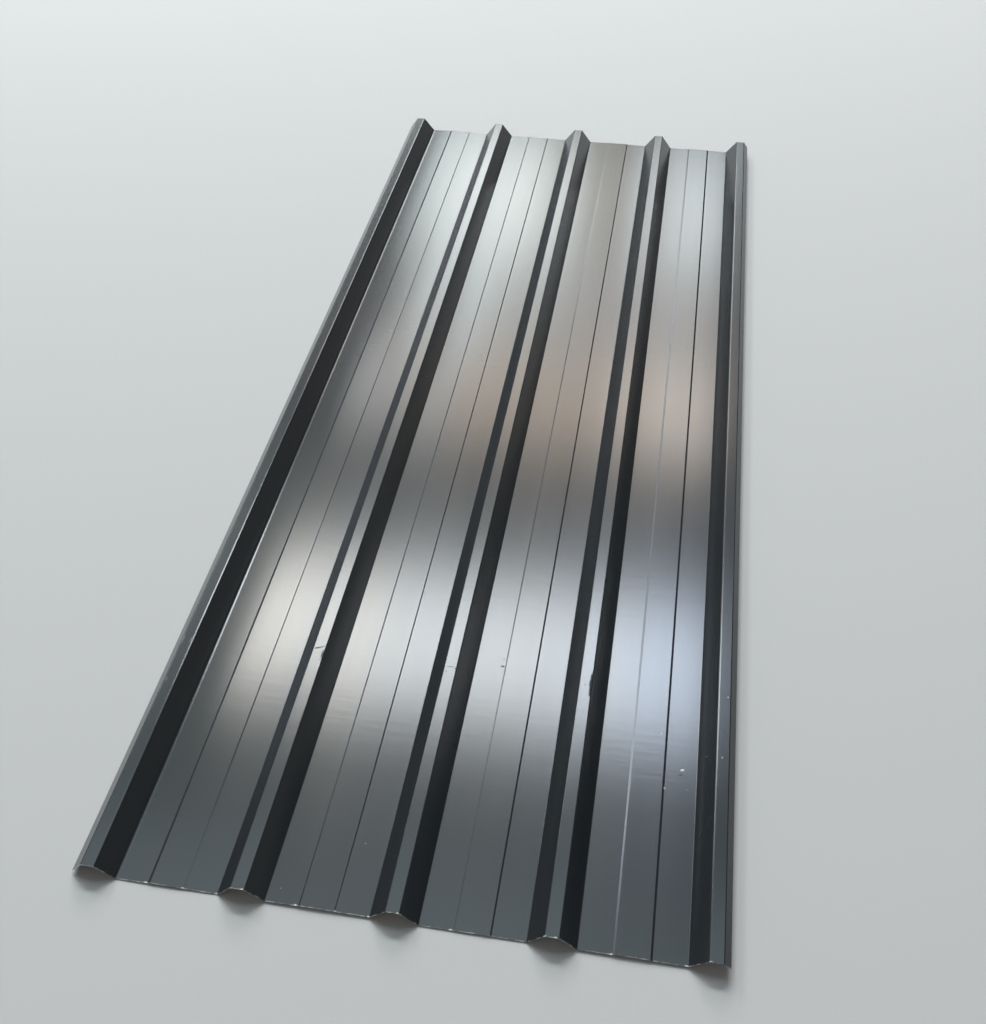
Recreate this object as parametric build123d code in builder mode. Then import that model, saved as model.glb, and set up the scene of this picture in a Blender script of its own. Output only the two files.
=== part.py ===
from build123d import *
import os

# Profiled roofing and cladding sheet, roll-formed from one flat strip of pre-painted steel.
# Lengths are millimetres. X runs across the sheet, Y along its ribs and Z up.
# The sheet lies on its pans, and the origin is under the middle of its overall width and length.

# The sheet as it is ordered
sheet_length = 2500
sheet_thickness = 0.5
rib_count = 5
rib_pitch = 250

# A rib, measured on the underside between the corners that the bends round off
rib_height = 36
crown_width = 22
foot_width = 78
bend_radius = 2.5

# The raised middle strip of each pan, which stiffens it, measured from step to step
strip_width = 58
step_height = 1.2
step_run = 3.6
step_radius = 2

# How far the outer flank of each edge rib comes down below the crown
underlap_drop = 29
overlap_drop = 15

# Where a bend turns up out of the pan, the underside is the outside of the bend
outer_bend_radius = bend_radius + sheet_thickness
outer_step_radius = step_radius + sheet_thickness

# Sideways reach of a whole flank, and of the two cut ones at the sheet's edges
flank_run = (foot_width - crown_width) / 2
underlap_run = flank_run * underlap_drop / rib_height
overlap_run = flank_run * overlap_drop / rib_height

# The underlap edge reaches further out than the overlap edge, so the ribs sit off the middle
middle_rib = (rib_count - 1) / 2
rib_shift = (underlap_run - overlap_run) / 2


def rib_center(index):
    return (index - middle_rib) * rib_pitch + rib_shift


def crown_corners(center):
    """The two upper corners of a rib, left and right, each with its bend radius."""
    half = crown_width / 2
    return [
        ((center - half, rib_height), bend_radius),
        ((center + half, rib_height), bend_radius),
    ]


def pan_corners(left_rib, right_rib):
    """The corners of a flat pan between two ribs, foot to foot over its raised strip."""
    center = (left_rib + right_rib) / 2
    foot = foot_width / 2
    low = (strip_width + step_run) / 2
    high = (strip_width - step_run) / 2
    return [
        ((left_rib + foot, 0), outer_bend_radius),
        ((center - low, 0), outer_step_radius),
        ((center - high, step_height), step_radius),
        ((center + high, step_height), step_radius),
        ((center + low, 0), outer_step_radius),
        ((right_rib - foot, 0), outer_bend_radius),
    ]


def section_corners():
    """Every bend of the section, from the underlap edge to the overlap edge."""
    corners = crown_corners(rib_center(0))
    for index in range(1, rib_count):
        corners += pan_corners(rib_center(index - 1), rib_center(index))
        corners += crown_corners(rib_center(index))
    return corners


corners = section_corners()
crown_edge = crown_width / 2
underlap_edge = (
    rib_center(0) - crown_edge - underlap_run,
    rib_height - underlap_drop,
)
overlap_edge = (
    rib_center(rib_count - 1) + crown_edge + overlap_run,
    rib_height - overlap_drop,
)
underside_points = [underlap_edge] + [point for point, radius in corners] + [overlap_edge]
underside_radii = [radius for point, radius in corners]

# One strip of metal: the underside line, thickened upwards and drawn out to the sheet's length
with BuildPart() as profiled_sheet:
    with BuildSketch(Plane.XZ):
        with BuildLine():
            underside = FilletPolyline(*underside_points, radius=underside_radii)
            offset(underside, amount=sheet_thickness, side=Side.LEFT, mode=Mode.ADD)
        make_face()
    extrude(amount=sheet_length / 2, both=True)

os.makedirs("parts", exist_ok=True)
profiled_sheet.part.label = "profiled_sheet"
export_step(profiled_sheet.part, "parts/profiled_sheet.step")
print("blank width", round(underside.length, 1), "mm")
print("overall width", round(profiled_sheet.part.bounding_box().size.X, 1), "mm")
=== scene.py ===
import math

import bpy
from mathutils import Matrix, Vector, noise


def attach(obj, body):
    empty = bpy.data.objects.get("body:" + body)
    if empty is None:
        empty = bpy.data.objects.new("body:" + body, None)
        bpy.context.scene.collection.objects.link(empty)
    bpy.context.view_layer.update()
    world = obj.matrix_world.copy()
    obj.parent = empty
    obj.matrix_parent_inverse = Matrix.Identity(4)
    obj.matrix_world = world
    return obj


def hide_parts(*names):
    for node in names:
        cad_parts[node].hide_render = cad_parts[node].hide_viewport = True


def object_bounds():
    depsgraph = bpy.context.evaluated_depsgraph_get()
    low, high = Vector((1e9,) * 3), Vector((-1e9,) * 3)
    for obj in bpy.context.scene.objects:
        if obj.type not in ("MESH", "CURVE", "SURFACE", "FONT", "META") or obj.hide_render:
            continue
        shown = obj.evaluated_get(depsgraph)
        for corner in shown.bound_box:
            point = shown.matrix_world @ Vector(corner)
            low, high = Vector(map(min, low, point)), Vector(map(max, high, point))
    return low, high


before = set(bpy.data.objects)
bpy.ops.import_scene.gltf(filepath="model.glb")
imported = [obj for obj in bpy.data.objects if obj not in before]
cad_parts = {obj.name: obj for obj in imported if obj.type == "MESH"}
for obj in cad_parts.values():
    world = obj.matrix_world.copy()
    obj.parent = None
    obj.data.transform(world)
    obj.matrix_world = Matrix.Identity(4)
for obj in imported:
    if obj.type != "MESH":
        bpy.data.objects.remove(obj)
cad_low, cad_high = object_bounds()

# Lengths are metres. X runs across the sheet, Y along its ribs and Z up.

# The rolled section
PITCH = 0.25
RIBS = 5
RIB_HEIGHT = 0.036
CROWN = 0.022
FOOT = 0.078
BEND = 0.0025
STRIP = 0.058
STEP_BEND = 0.002
UNDERLAP_DROP = 0.029
OVERLAP_DROP = 0.015
THICKNESS = 0.0005
FLANK = (FOOT - CROWN) / 2
UNDERLAP_RUN = FLANK * UNDERLAP_DROP / RIB_HEIGHT
OVERLAP_RUN = FLANK * OVERLAP_DROP / RIB_HEIGHT
RIB_SHIFT = (UNDERLAP_RUN - OVERLAP_RUN) / 2
NEAR_END = cad_low[1]
FAR_END = cad_high[1]

# How finely the visual sheet is divided
ARC_PIECES = 6
STEP_PIECES = 4
ACROSS = 0.012
ACROSS_CROWN = 0.004
CROWN_MARGIN = BEND / 10
ALONG = 0.030
END_INSETS = (0.0006, 0.0015, 0.004, 0.010)
CLOSE_FROM, CLOSE_TO, CLOSE_ALONG = -0.83, -0.75, 0.004
SLOPE_STEP = 0.0004
PAINT_SLOT, BACKING_SLOT, EDGE_SLOT = 0, 1, 2

# The steps of each pan's raised strip, pan by pan: height and run of the left one, then of the
# right one. The rolls pressed them less evenly than the nominal 1.2 mm over 3.6 mm
PAN_STEPS = (
    (0.00135, 0.0042, 0.00075, 0.0022),
    (0.00087, 0.0026, 0.00080, 0.0024),
    (0.00050, 0.0028, 0.00100, 0.0030),
    (0.00148, 0.0038, 0.00120, 0.0036),
)
# Bends of the two edge ribs that came out softer: radius and pieces
SOFT_BENDS = {
    (0, "right crown"): (0.0066, 11),
    (0, "right foot"): (0.0105, 14),
    (RIBS - 1, "left crown"): (0.0045, 8),
}

# How the metal settles from its rolled shape. Each pan, left to right, bows up between its ribs,
# slow waves run along it, and the crowns of the two edge ribs lean outwards, less near the far end
PAN_BOW = (0.0013, 0.0005, 0.0004, 0.0005)
PAN_WAVE = 0.00012
WAVE_LENGTH = 0.35
LEFT_LEAN = 0.044
RIGHT_LEAN = 0.030
LEAN_EASES_FROM, LEAN_EASES = 0.85, 0.5
# How much each crown tips down to its right, as a slope
CROWN_TIPS = (0, 0.018, -0.008, 0, 0)
# The near end of each pan stands a little off the floor
NEAR_LIFTS = (0.0015, 0.0040, 0.0020, 0.0040)
LIFTED_LENGTH = 0.25

# Bruised corners of crowns: place, half size across and along, and depth
BRUISES = (
    (0.2664, -0.788, 0.0050, 0.024, 0.0007),
    (-0.2336, -0.806, 0.0045, 0.018, 0.0005),
)
SHEAR_WANDER = 0.0002

# The noises that roughen the bruises and the cut ends, and set the pans' waves apart
BRUISE_RAGGED = 0.6
BRUISE_GRAIN = 220
SHEAR_GRAIN = 60
PANS_APART = 7.3


def rib_center(index):
    return (index - (RIBS - 1) / 2) * PITCH + RIB_SHIFT


def pan_center(index):
    return (rib_center(index) + rib_center(index + 1)) / 2


# The sheet's shape


def bend(index, corner, radius):
    return SOFT_BENDS.get((index, corner), (radius, ARC_PIECES))


def section_corners():
    """Corners of the underside, each with its bend radius and the pieces of its arc."""
    outer = BEND + THICKNESS
    outer_step = STEP_BEND + THICKNESS
    corners = []
    for index in range(RIBS):
        center = rib_center(index)
        if index:
            corners.append((center - FOOT / 2, 0, *bend(index, "left foot", outer)))
        corners.append((center - CROWN / 2, RIB_HEIGHT, *bend(index, "left crown", BEND)))
        corners.append((center + CROWN / 2, RIB_HEIGHT, *bend(index, "right crown", BEND)))
        if index < RIBS - 1:
            corners.append((center + FOOT / 2, 0, *bend(index, "right foot", outer)))
            left_height, left_run, right_height, right_run = PAN_STEPS[index]
            left = pan_center(index) - STRIP / 2
            right = pan_center(index) + STRIP / 2
            corners.append((left - left_run / 2, 0, outer_step, STEP_PIECES))
            corners.append((left + left_run / 2, left_height, STEP_BEND, STEP_PIECES))
            corners.append((right - right_run / 2, right_height, STEP_BEND, STEP_PIECES))
            corners.append((right + right_run / 2, 0, outer_step, STEP_PIECES))
    return corners


def straight(start, end, normal):
    """Points on a flat stretch, both ends included, each with the way its thickness goes."""
    on_crown = start.y > RIB_HEIGHT - CROWN_MARGIN
    spacing = ACROSS_CROWN if on_crown else ACROSS
    count = max(1, round((end - start).length / spacing))
    return [(start.lerp(end, step / count), normal) for step in range(count + 1)]


def arc(start, normal, turn, radius, pieces):
    """Points inside a bend, without its ends."""
    side = -1 if turn < 0 else 1
    hub = start + normal * radius * side
    points = []
    for step in range(1, pieces):
        swing = Matrix.Rotation(turn * step / pieces, 2)
        points.append((hub + swing @ (start - hub), swing @ normal))
    return points


def section_line():
    """Points along the underside from the underlap edge to the overlap edge, with normals."""
    first = rib_center(0) - CROWN / 2 - UNDERLAP_RUN
    last = rib_center(RIBS - 1) + CROWN / 2 + OVERLAP_RUN
    place = Vector((first, RIB_HEIGHT - UNDERLAP_DROP))
    end = Vector((last, RIB_HEIGHT - OVERLAP_DROP))
    corners = section_corners()
    targets = [Vector(corner[:2]) for corner in corners] + [end]
    line = []
    for index, (*_, radius, pieces) in enumerate(corners):
        corner = targets[index]
        heading = (corner - place).normalized()
        onward = (targets[index + 1] - corner).normalized()
        normal = Vector((-heading.y, heading.x))
        turn = math.atan2(heading.cross(onward), heading.dot(onward))
        reach = radius * math.tan(abs(turn) / 2)
        tangent = corner - heading * reach
        line += straight(place, tangent, normal)
        line += arc(tangent, normal, turn, radius, pieces)
        place = corner + onward * reach
    heading = (end - place).normalized()
    line += straight(place, end, Vector((-heading.y, heading.x)))
    return line


def from_rib(x):
    """The nearest rib, the distance from its middle, and how far down its flank: 0 to 1."""
    index = min(max(round((x - rib_center(0)) / PITCH), 0), RIBS - 1)
    across = x - rib_center(index)
    down_flank = (abs(across) - CROWN / 2) / FLANK
    return index, across, min(max(down_flank, 0), 1)


def near_lift(x, y):
    """How far the near end stands off the floor: nothing on the crowns, all of it on the pans."""
    pan = min(max(math.floor((x - rib_center(0)) / PITCH), 0), RIBS - 2)
    along = (NEAR_END + LIFTED_LENGTH - y) / LIFTED_LENGTH
    return NEAR_LIFTS[pan] * from_rib(x)[2] * max(along, 0) ** 2


def tipped(x):
    """How far a crown that tips sideways stands above its rolled shape: never more than nothing."""
    index, across, down_flank = from_rib(x)
    inner = CROWN / 2
    tip = CROWN_TIPS[index]
    return -(abs(tip) * inner + tip * min(max(across, -inner), inner)) * (1 - down_flank)


def rise(x, y):
    """How far the metal stands above its rolled shape."""
    return near_lift(x, y) + tipped(x) + settling(x, y)


def settling(x, y):
    """Leans of the edge ribs, bruised corners, and bows and waves of the pans."""
    inner = CROWN / 2
    lean = 1 - LEAN_EASES * min(max((y - LEAN_EASES_FROM) / (FAR_END - LEAN_EASES_FROM), 0), 1)
    if x < rib_center(0) + inner:
        return (x - rib_center(0) - inner) * LEFT_LEAN * lean
    if x > rib_center(RIBS - 1) - inner:
        return (rib_center(RIBS - 1) - inner - x) * RIGHT_LEAN * lean
    for left, along, half_wide, half_long, depth in BRUISES:
        reach = math.hypot((x - left) / half_wide, (y - along) / half_long)
        if reach < 1:
            ragged = 1 + BRUISE_RAGGED * noise.noise(Vector((x, y, 0)) * BRUISE_GRAIN)
            return -depth * ragged * (1 - reach * reach) ** 2
    for index, bow in enumerate(PAN_BOW):
        across = (x - pan_center(index)) / (PITCH / 2 - FOOT / 2)
        if abs(across) < 1:
            wave = noise.noise(Vector((x / PITCH * 2, y / WAVE_LENGTH, index * PANS_APART)))
            return (1 - across * across) * (bow + PAN_WAVE * (1 + wave))
    return 0


def true_normal(normal, x, y):
    """The painted face's normal once the metal has settled."""
    slope_x = (rise(x + SLOPE_STEP, y) - rise(x - SLOPE_STEP, y)) / (2 * SLOPE_STEP)
    slope_y = (rise(x, y + SLOPE_STEP) - rise(x, y - SLOPE_STEP)) / (2 * SLOPE_STEP)
    level = normal.y
    return Vector((normal.x - slope_x * level, -slope_y * level, level)).normalized()


def stations_along():
    """Places of the rows along the sheet, closer together at the cut ends and the bruises."""
    count = round((FAR_END - NEAR_END) / ALONG)
    places = [NEAR_END + (FAR_END - NEAR_END) * row / count for row in range(count + 1)]
    places = [place for place in places if not CLOSE_FROM < place < CLOSE_TO]
    for inset in END_INSETS:
        places += [NEAR_END + inset, FAR_END - inset]
    count = round((CLOSE_TO - CLOSE_FROM) / CLOSE_ALONG)
    places += [CLOSE_FROM + (CLOSE_TO - CLOSE_FROM) * row / count for row in range(count + 1)]
    return sorted(places)


def shear_wander(x, y):
    """The cut ends run in and out a little."""
    if y in (NEAR_END, FAR_END):
        inward = 1 if y == NEAR_END else -1
        return inward * SHEAR_WANDER * (0.5 + 0.5 * noise.noise(Vector((x * SHEAR_GRAIN, y, 0))))
    return 0


def sheet_points(line, rows):
    """The mesh's points, row by row, each row's underside before its top, with their normals."""
    points = []
    normals = []
    for y in rows:
        settled = []
        for point, normal in line:
            x = point.x
            place = Vector((x, y + shear_wander(x, y), point.y + rise(x, y)))
            settled.append((place, true_normal(normal, x, y)))
        for thick in (0, THICKNESS):
            for place, normal in settled:
                moved = place + normal * thick
                moved.x = min(max(moved.x, cad_low[0]), cad_high[0])
                points.append(moved)
                normals.append(normal if thick else -normal)
    return points, normals


def sheet_faces(wide, rows):
    """The faces of a grid so many points wide and so many rows long, each with its material."""
    ring = wide * 2
    faces = []
    slots = []
    for row in range(rows - 1):
        here = row * ring
        there = here + ring
        for column in range(wide - 1):
            under = here + column
            beyond = there + column
            faces.append((under, beyond, beyond + 1, under + 1))
            slots.append(BACKING_SLOT)
            top = under + wide
            far = beyond + wide
            faces.append((top, top + 1, far + 1, far))
            slots.append(PAINT_SLOT)
        faces.append((here, here + wide, there + wide, there))
        slots.append(EDGE_SLOT)
        last = here + wide - 1
        far_last = there + wide - 1
        faces.append((last, far_last, far_last + wide, last + wide))
        slots.append(EDGE_SLOT)
    final = (rows - 1) * ring
    for column in range(wide - 1):
        faces.append((column, column + 1, column + 1 + wide, column + wide))
        slots.append(EDGE_SLOT)
        start = final + column
        faces.append((start, start + wide, start + wide + 1, start + 1))
        slots.append(EDGE_SLOT)
    return faces, slots


def make_sheet():
    """The whole rolled sheet as one closed mesh: painted face, backing face and cut edges."""
    line = section_line()
    rows = stations_along()
    points, normals = sheet_points(line, rows)
    faces, slots = sheet_faces(len(line), len(rows))
    mesh = bpy.data.meshes.new("rolled_sheet")
    mesh.from_pydata(points, [], faces)
    mesh.polygons.foreach_set("material_index", slots)
    mesh.update()
    corner_normals = []
    for face in mesh.polygons:
        if face.material_index == EDGE_SLOT:
            corner_normals += [face.normal.copy()] * len(face.vertices)
        else:
            corner_normals += [normals[index] for index in face.vertices]
    mesh.normals_split_custom_set(corner_normals)
    sheet = bpy.data.objects.new("rolled_sheet", mesh)
    bpy.context.scene.collection.objects.link(sheet)
    return sheet


# Materials


def new_material(name):
    material = bpy.data.materials.new(name)
    material.use_nodes = True
    tree = material.node_tree
    return material, tree, tree.nodes["Principled BSDF"]


def add(tree, kind, inputs=None, **settings):
    """A new node with its settings and its inputs, each a number, a colour or an output."""
    node = tree.nodes.new(kind)
    for key, value in settings.items():
        setattr(node, key, value)
    for key, value in (inputs or {}).items():
        if isinstance(value, bpy.types.NodeSocket):
            tree.links.new(value, node.inputs[key])
        else:
            node.inputs[key].default_value = value
    return node


def place_of(tree, scale=(1, 1, 1)):
    """The object's own coordinates in metres, stretched by a scale."""
    where = add(tree, "ShaderNodeTexCoord").outputs["Object"]
    return add(tree, "ShaderNodeMapping", {"Vector": where, "Scale": scale}).outputs["Vector"]


def grain(tree, size, detail=3.0, stretch=(1, 1, 1)):
    """Noise with so many waves to the metre."""
    inputs = {"Vector": place_of(tree, stretch), "Scale": size, "Detail": detail}
    return add(tree, "ShaderNodeTexNoise", inputs).outputs["Fac"]


def remap(tree, value, low, high, to_low=0.0, to_high=1.0):
    """The value's place between low and high, held within them, laid out from to_low to to_high."""
    inputs = {"Value": value, "From Min": low, "From Max": high}
    inputs |= {"To Min": to_low, "To Max": to_high}
    return add(tree, "ShaderNodeMapRange", inputs).outputs["Result"]


def calculate(tree, operation, first, second=0.0):
    inputs = {0: first, 1: second}
    return add(tree, "ShaderNodeMath", inputs, operation=operation).outputs["Value"]


# A Mix node's sockets for colours, by number: those for plain numbers have the same names
MIX_FIRST, MIX_SECOND, MIX_RESULT = 6, 7, 2


def blend_color(tree, factor, first, second):
    inputs = {"Factor": factor, MIX_FIRST: first, MIX_SECOND: second}
    return add(tree, "ShaderNodeMix", inputs, data_type="RGBA").outputs[MIX_RESULT]


PAINT_DARK = (0.0176, 0.0205, 0.0226, 1)
PAINT_LIGHT = (0.0202, 0.0235, 0.0259, 1)
RUBBED = (0.016, 0.018, 0.020, 1)
DUSTY = (0.16, 0.16, 0.155, 1)
# Pale colour of the flecks and the worn rim, also used for the painted highlights of the burrs'
# glints at the near end
PALE_FLECKS_AND_GLINTS = (0.72, 0.73, 0.71, 1)
BACKING = (0.20, 0.205, 0.205, 1)
BACKING_DUSTY = (0.17, 0.17, 0.165, 1)
ZINC = (0.55, 0.56, 0.56, 1)
ZINC_DULL = (0.38, 0.38, 0.37, 1)
FLOOR = (0.56, 0.545, 0.53, 1)
FLOOR_UNDER_LAMPS = (0.33, 0.325, 0.32, 1)
FLOOR_ROUGH, FLOOR_SHINE = 0.9, 0.2
LAMPS_FROM, LAMPS_FULL = 3.0, 6.5

# How rough the paint is along its streaks, how much the marks add to that, and how strongly
# sound and rubbed paint shine
PAINT_ROUGH = (0.18, 0.19)
MARKS_ROUGH = 0.3
SHINE, RUBBED_SHINE = 0.5, 0.1
PAINT_IOR = 1.5
BACKING_ROUGH = (0.42, 0.52)
ZINC_ROUGH = (0.3, 0.5)
ZINC_METALLIC = 0.9
# How far noise breaks up the edges of marks, where a mark is solid and where it ends, as parts of
# its half size, and how much dust covers and dulls
RAGGED = 0.45
MARK_SOLID, MARK_ENDS = 0.6, 1.1
DUST_COVERS, DUST_DULLS = 0.5, 0.6
# The span in which most of a noise's values lie, then narrower ones for stronger contrast
NOISE_SPAN = (0.3, 0.7)
COAT_SPAN = (0.35, 0.65)
ZINC_SPAN = (0.4, 0.6)
RIM_SPAN = (0.45, 0.65)

# Waves to the metre of each noise, for streaks and ripples along X, Y and Z, and how high the
# orange peel and the ripple stand
MARK_GRAIN = 700.0
PEEL_GRAIN = 700.0
PAINT_CLOUDS = 3.0
COAT_CLOUDS = 9.0
ZINC_GRAIN = 400.0
RIM_GRAIN = 130.0
STREAKS = (30, 1.5, 30)
RIPPLES = (12, 110, 12)
PEEL_STRENGTH, PEEL_HEIGHT = 0.03, 0.0002
RIPPLE_HEIGHT = 0.00005

# Marks on the paint, each an oval: middle, half size across and along, turn in degrees, strength.
# Rubs from a strap and from handling
RUBS = (
    (-0.2480, -0.7818, 0.0062, 0.0016, 20, 0.9),
    (-0.2405, -0.7786, 0.0060, 0.0009, 28, 0.7),
    (-0.2355, -0.7940, 0.0018, 0.0100, 0, 0.7),
    (0.0065, -0.7857, 0.0098, 0.0008, -1, 0.5),
    (0.0150, -0.7888, 0.0016, 0.0014, 0, 0.7),
    (-0.0005, -0.7969, 0.0014, 0.0013, 0, 0.6),
    (0.0959, -0.7303, 0.0016, 0.0016, 0, 0.4),
    (0.0958, -0.7465, 0.0034, 0.0020, 10, 0.7),
    (0.2648, -0.7680, 0.0024, 0.0080, 0, 0.9),
    (0.2641, -0.7820, 0.0030, 0.0100, 0, 0.9),
    (0.2650, -0.8000, 0.0025, 0.0130, 0, 0.9),
    (0.4376, -0.9232, 0.0034, 0.0016, 0, 0.9),
    (0.4505, -0.9503, 0.0028, 0.0018, 0, 0.4),
    (-0.0857, -0.5982, 0.0018, 0.0030, 0, 0.4),
    (0.1610, -0.5925, 0.0016, 0.0040, 0, 0.4),
)
# Dusty smudges
SMUDGES = (
    (-0.5040, -0.8001, 0.0026, 0.0120, 0, 0.35),
    (-0.4879, -0.8000, 0.0028, 0.0075, 0, 0.5),
    (-0.5020, -0.8900, 0.0035, 0.0050, 0, 0.3),
    (-0.2360, -0.7768, 0.0030, 0.0010, 20, 0.6),
    (0.2549, -0.7750, 0.0012, 0.0020, 0, 0.4),
    (0.2545, -0.7870, 0.0014, 0.0025, 0, 0.4),
    (0.4796, -0.8900, 0.0017, 0.0018, 0, 0.8),
)
# Pale flecks on the paint
FLECKS = (
    (0.4401, -0.9134, 0.0036, 0.0020, 31, 1.0),
    (0.4113, -0.9528, 0.0017, 0.0020, 0, 0.5),
    (0.3999, -0.8464, 0.0016, 0.0020, 0, 0.15),
    (0.5114, -0.7746, 0.0014, 0.0016, 0, 0.35),
    (0.5040, -0.8991, 0.0015, 0.0017, 0, 0.40),
    (-0.0706, -1.1297, 0.0020, 0.0012, 0, 0.12),
    (-0.1863, -1.2255, 0.0016, 0.0010, 0, 0.15),
)
# Painted highlights at the near end: pale spots that stand in for glints on the burrs that the
# shear left. Place across and strength of each, then the half sizes that they share
SHEAR_GLINTS = (
    (-0.4046, 0.9),
    (-0.3420, 0.8),
    (-0.2859, 0.5),
    (-0.2370, 0.8),
    (-0.1550, 1.0),
    (-0.0900, 0.5),
    (-0.0360, 0.7),
    (0.0144, 0.5),
    (0.0960, 0.9),
    (0.2440, 0.5),
    (0.2610, 0.7),
    (0.3480, 0.9),
    (0.4630, 0.7),
    (0.4960, 0.5),
)
GLINT_WIDE, GLINT_LONG = 0.0026, 0.0016
# The rim along both cut ends where the paint has worn off: its width, where it starts and where
# it is full as parts of that, and how worn it is at most
RIM = 0.0011
RIM_STARTS, RIM_FULL = 1.4, 0.6
RIM_WORN = 0.5


def patch(tree, place, ragged, x, y, half_wide, half_long, turn, strength):
    """Its strength in the middle of an oval patch and 0 outside it, with a broken edge."""
    inputs = {
        "Vector": place,
        "Location": (x, y, 0),
        "Rotation": (0, 0, math.radians(turn)),
        "Scale": (half_wide, half_long, 1),
    }
    local = add(tree, "ShaderNodeMapping", inputs, vector_type="TEXTURE").outputs["Vector"]
    reach = add(tree, "ShaderNodeVectorMath", {0: local}, operation="LENGTH").outputs["Value"]
    broken = calculate(tree, "ADD", reach, ragged)
    return remap(tree, broken, MARK_SOLID, MARK_ENDS, strength, 0.0)


def union(tree, masks):
    total = masks[0]
    for mask in masks[1:]:
        total = calculate(tree, "MAXIMUM", total, mask)
    return total


def worn_rim(tree, place):
    """A thin broken line along the cut ends."""
    apart = add(tree, "ShaderNodeSeparateXYZ", {"Vector": place})
    out = calculate(tree, "ABSOLUTE", apart.outputs["Y"])
    rim = remap(tree, out, FAR_END - RIM * RIM_STARTS, FAR_END - RIM * RIM_FULL)
    worn = remap(tree, grain(tree, RIM_GRAIN), *RIM_SPAN, 0.0, RIM_WORN)
    return calculate(tree, "MULTIPLY", rim, worn)


def paint_material():
    """Satin polyester paint, rubbed, flecked and worn pale here and there, with painted highlights:
    pale spots for the glints of burrs along the near cut end.
    """
    material, tree, shader = new_material("anthracite_paint")
    place = place_of(tree)
    broken = remap(tree, grain(tree, MARK_GRAIN), *NOISE_SPAN, -RAGGED, RAGGED)
    rubbed = union(tree, [patch(tree, place, broken, *mark) for mark in RUBS])
    dusty = union(tree, [patch(tree, place, broken, *mark) for mark in SMUDGES])
    flecks_and_glints = [patch(tree, place, broken, *mark) for mark in FLECKS]
    glint_at = NEAR_END + GLINT_LONG / 2
    # Painted highlights: pale spots that stand in for glints on the burrs at the near end
    for across, strength in SHEAR_GLINTS:
        glint = (across, glint_at, GLINT_WIDE, GLINT_LONG, 0, strength)
        flecks_and_glints.append(patch(tree, place, broken, *glint))
    flecks_and_glints.append(worn_rim(tree, place))
    flecked_and_glinting = union(tree, flecks_and_glints)
    cloud = remap(tree, grain(tree, PAINT_CLOUDS), *NOISE_SPAN)
    color = blend_color(tree, cloud, PAINT_DARK, PAINT_LIGHT)
    color = blend_color(tree, rubbed, color, RUBBED)
    color = blend_color(tree, calculate(tree, "MULTIPLY", dusty, DUST_COVERS), color, DUSTY)
    # Pale flecks, worn rim and the painted highlights of the burrs' glints
    color = blend_color(tree, flecked_and_glinting, color, PALE_FLECKS_AND_GLINTS)
    tree.links.new(color, shader.inputs["Base Color"])
    streaks = remap(tree, grain(tree, 1.0, stretch=STREAKS), *NOISE_SPAN, *PAINT_ROUGH)
    dull = union(tree, [rubbed, calculate(tree, "MULTIPLY", dusty, DUST_DULLS), flecked_and_glinting])
    roughness = calculate(tree, "ADD", streaks, calculate(tree, "MULTIPLY", dull, MARKS_ROUGH))
    tree.links.new(roughness, shader.inputs["Roughness"])
    shine = remap(tree, rubbed, 0.0, 1.0, SHINE, RUBBED_SHINE)
    tree.links.new(shine, shader.inputs["Specular IOR Level"])
    shader.inputs["IOR"].default_value = PAINT_IOR
    peel = {
        "Height": grain(tree, PEEL_GRAIN, detail=2.0),
        "Strength": PEEL_STRENGTH,
        "Distance": PEEL_HEIGHT,
    }
    ripple = {
        "Height": grain(tree, 1.0, stretch=RIPPLES),
        "Strength": 1.0,
        "Distance": RIPPLE_HEIGHT,
        "Normal": add(tree, "ShaderNodeBump", peel).outputs["Normal"],
    }
    bump = add(tree, "ShaderNodeBump", ripple)
    tree.links.new(bump.outputs["Normal"], shader.inputs["Normal"])
    return material


def backing_material():
    """Thin matt back coat of the underside."""
    material, tree, shader = new_material("backing_coat")
    cloud = grain(tree, COAT_CLOUDS)
    tint = remap(tree, cloud, *COAT_SPAN)
    tree.links.new(blend_color(tree, tint, BACKING, BACKING_DUSTY), shader.inputs["Base Color"])
    roughness = remap(tree, cloud, *NOISE_SPAN, *BACKING_ROUGH)
    tree.links.new(roughness, shader.inputs["Roughness"])
    return material


def edge_material():
    """Sheared edge: zinc smeared over bare steel."""
    material, tree, shader = new_material("sheared_edge")
    smear = grain(tree, ZINC_GRAIN)
    tint = remap(tree, smear, *ZINC_SPAN)
    tree.links.new(blend_color(tree, tint, ZINC, ZINC_DULL), shader.inputs["Base Color"])
    tree.links.new(remap(tree, smear, *NOISE_SPAN, *ZINC_ROUGH), shader.inputs["Roughness"])
    shader.inputs["Metallic"].default_value = ZINC_METALLIC
    return material


def floor_material():
    """Pale matt floor, less pale under the nearest lamps, where the light is strongest."""
    material, tree, shader = new_material("pale_floor")
    apart = add(tree, "ShaderNodeSeparateXYZ", {"Vector": place_of(tree)})
    under = remap(tree, apart.outputs["Y"], LAMPS_FROM, LAMPS_FULL)
    tree.links.new(blend_color(tree, under, FLOOR, FLOOR_UNDER_LAMPS), shader.inputs["Base Color"])
    shader.inputs["Roughness"].default_value = FLOOR_ROUGH
    shader.inputs["Specular IOR Level"].default_value = FLOOR_SHINE
    return material


# The studio: floor, lamps, world and camera

WALL_LEFT = (0.30, 0.30, 0.30, 1)
WALL_RIGHT = (0.05, 0.05, 0.05, 1)
BACKDROP = (0.55, 0.55, 0.55, 1)
BACKDROP_FAR_RIGHT = (0.15, 0.15, 0.15, 1)
BACKDROP_BEHIND = (0.30, 0.30, 0.30, 1)
# Where the backdrop ends upwards and where it starts to count as behind, as parts of a direction
BACKDROP_TOP, BACKDROP_FULL = 0.30, 0.10
BEHIND_FROM, BEHIND_FULL = -0.2, -0.6
FLOOR_RADIUS = 14.0
FLOOR_SIDES = 96


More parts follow.
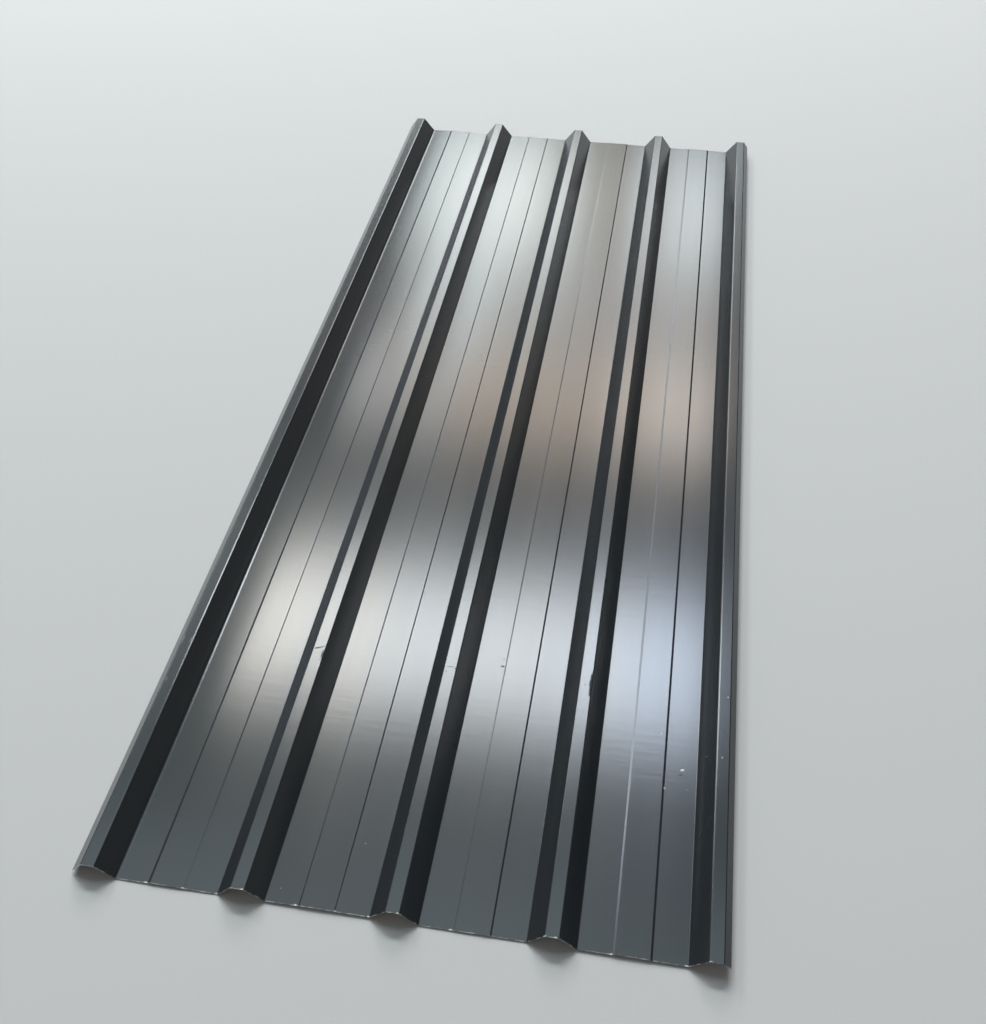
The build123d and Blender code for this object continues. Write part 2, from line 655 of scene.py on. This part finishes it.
def make_floor():
    mesh = bpy.data.meshes.new("studio_floor")
    turns = [2 * math.pi * side / FLOOR_SIDES for side in range(FLOOR_SIDES)]
    rim = [(FLOOR_RADIUS * math.cos(turn), FLOOR_RADIUS * math.sin(turn), 0) for turn in turns]
    mesh.from_pydata(rim, [], [tuple(range(FLOOR_SIDES))])
    floor = bpy.data.objects.new("studio_floor", mesh)
    floor.data.materials.append(floor_material())
    bpy.context.scene.collection.objects.link(floor)


# The photograph's camera, solved from the section's corners at both cut ends
PHOTO_WIDE = 986
PHOTO_HIGH = 1024
FOCAL_PIXELS = 1061.2
AXIS_PIXEL = (519.3, 521.8)
SENSOR = 36
EYE = (0.3009, -1.8709, 1.6584)
TURNED_LEFT = 8.778
TILTED_DOWN = 47.659
SEEN_TO = 100

LAMP_HEIGHT = 11.0
# Each lamp is a level softbox, placed by the patch of the flat pans in which the camera sees it
# mirrored. Name, near left and far right corner of that patch, brightness and colour
LAMPS = (
    ("near_left", (-0.43, -0.86), (-0.175, -0.56), 22.7, (1.03, 1.02, 0.96)),
    ("near_middle", (-0.175, -0.86), (0.272, -0.56), 20.8, (0.95, 1.01, 1.04)),
    ("near_right", (0.272, -0.86), (0.54, -0.56), 20.5, (0.86, 0.98, 1.16)),
    ("middle_left", (-0.42, -0.13), (-0.175, 0.15), 7.8, (1.00, 1.01, 0.99)),
    ("middle", (-0.175, -0.13), (0.255, 0.15), 6.3, (1.25, 0.99, 0.76)),
    ("middle_right", (0.255, -0.13), (0.54, 0.15), 12.3, (1.12, 1.00, 0.88)),
    ("past_edge", (-0.42, 0.15), (-0.24, 0.60), 1.5, (1.05, 1.02, 0.94)),
    ("past_left", (-0.24, 0.15), (-0.165, 0.60), 13.2, (0.92, 1.02, 1.06)),
    ("past_middle", (-0.165, 0.15), (-0.01, 0.60), 5.4, (0.94, 1.03, 1.03)),
    ("past_right", (-0.01, 0.15), (0.54, 0.60), 4.0, (1.02, 1.00, 0.98)),
    ("far_edge", (-0.50, 0.63), (-0.26, 1.35), 9.1, (0.93, 1.04, 1.03)),
    ("far_left", (-0.26, 0.60), (0.015, 1.24), 12.5, (0.95, 1.03, 1.01)),
    ("far_middle", (0.015, 0.60), (0.235, 1.35), 2.8, (1.11, 1.02, 0.87)),
    ("far_right", (0.235, 0.60), (0.54, 1.25), 10.3, (0.93, 1.02, 1.05)),
    ("overhead", (-1.00, -1.50), (0.90, -1.12), 2.0, (0.83, 1.05, 1.12)),
    ("side", (-0.80, -1.12), (-0.43, -0.13), 0.45, (0.90, 1.10, 1.00)),
    ("strip_near", (-1.30, -0.80), (-0.92, -0.10), 17.0, (0.86, 1.01, 1.13)),
    ("strip_middle", (-1.30, -0.10), (-0.92, 0.45), 5.0, (0.92, 1.00, 1.08)),
    ("strip_far", (-1.30, 0.45), (-0.92, 2.20), 9.5, (0.92, 1.00, 1.08)),
    ("fill_behind", (-0.55, -3.20), (0.90, -2.20), 0.2, (1.00, 1.00, 1.00)),
)


def mirrored(x, y):
    """The place at lamp height that the camera sees mirrored at a place on the flat pans."""
    reach = LAMP_HEIGHT / EYE[2]
    return x + (x - EYE[0]) * reach, y + (y - EYE[1]) * reach


def make_lamps():
    for name, near, far, brightness, color in LAMPS:
        low = mirrored(*near)
        high = mirrored(*far)
        wide = high[0] - low[0]
        deep = high[1] - low[1]
        data = bpy.data.lights.new(name, "AREA")
        data.shape = "RECTANGLE"
        data.size = wide
        data.size_y = deep
        data.energy = brightness * math.pi * wide * deep
        data.color = color
        lamp = bpy.data.objects.new(name, data)
        lamp.location = ((low[0] + high[0]) / 2, (low[1] + high[1]) / 2, LAMP_HEIGHT)
        lamp.visible_camera = False
        bpy.context.scene.collection.objects.link(lamp)


def make_world():
    """A dim room, darker to the right, above a backdrop that dims behind the camera."""
    world = bpy.data.worlds.new("studio")
    bpy.context.scene.world = world
    world.use_nodes = True
    tree = world.node_tree
    background = tree.nodes["Background"]
    toward = add(tree, "ShaderNodeTexCoord").outputs["Generated"]
    apart = add(tree, "ShaderNodeSeparateXYZ", {"Vector": toward})
    rightward = remap(tree, apart.outputs["X"], -1.0, 1.0)
    farward = remap(tree, apart.outputs["Y"], -1.0, 1.0)
    walls = blend_color(tree, rightward, WALL_LEFT, WALL_RIGHT)
    corner = calculate(tree, "MULTIPLY", rightward, farward)
    backdrop = blend_color(tree, corner, BACKDROP, BACKDROP_FAR_RIGHT)
    behind = remap(tree, apart.outputs["Y"], BEHIND_FROM, BEHIND_FULL)
    backdrop = blend_color(tree, behind, backdrop, BACKDROP_BEHIND)
    low = remap(tree, apart.outputs["Z"], BACKDROP_TOP, BACKDROP_FULL)
    tree.links.new(blend_color(tree, low, walls, backdrop), background.inputs["Color"])


def make_camera():
    data = bpy.data.cameras.new("photo_camera")
    long_side = max(PHOTO_WIDE, PHOTO_HIGH)
    data.sensor_width = SENSOR
    data.lens = FOCAL_PIXELS / long_side * SENSOR
    data.shift_x = (PHOTO_WIDE / 2 - AXIS_PIXEL[0]) / long_side
    data.shift_y = (AXIS_PIXEL[1] - PHOTO_HIGH / 2) / long_side
    data.clip_end = SEEN_TO
    camera = bpy.data.objects.new("photo_camera", data)
    camera.location = EYE
    camera.rotation_euler = (math.radians(90 - TILTED_DOWN), 0, math.radians(TURNED_LEFT))
    bpy.context.scene.collection.objects.link(camera)
    bpy.context.scene.camera = camera


sheet = make_sheet()
for make_material in (paint_material, backing_material, edge_material):
    sheet.data.materials.append(make_material())
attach(sheet, "root")
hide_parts("profiled_sheet")

make_floor()
make_lamps()
make_world()
make_camera()
bpy.context.scene.view_settings.view_transform = "Standard"
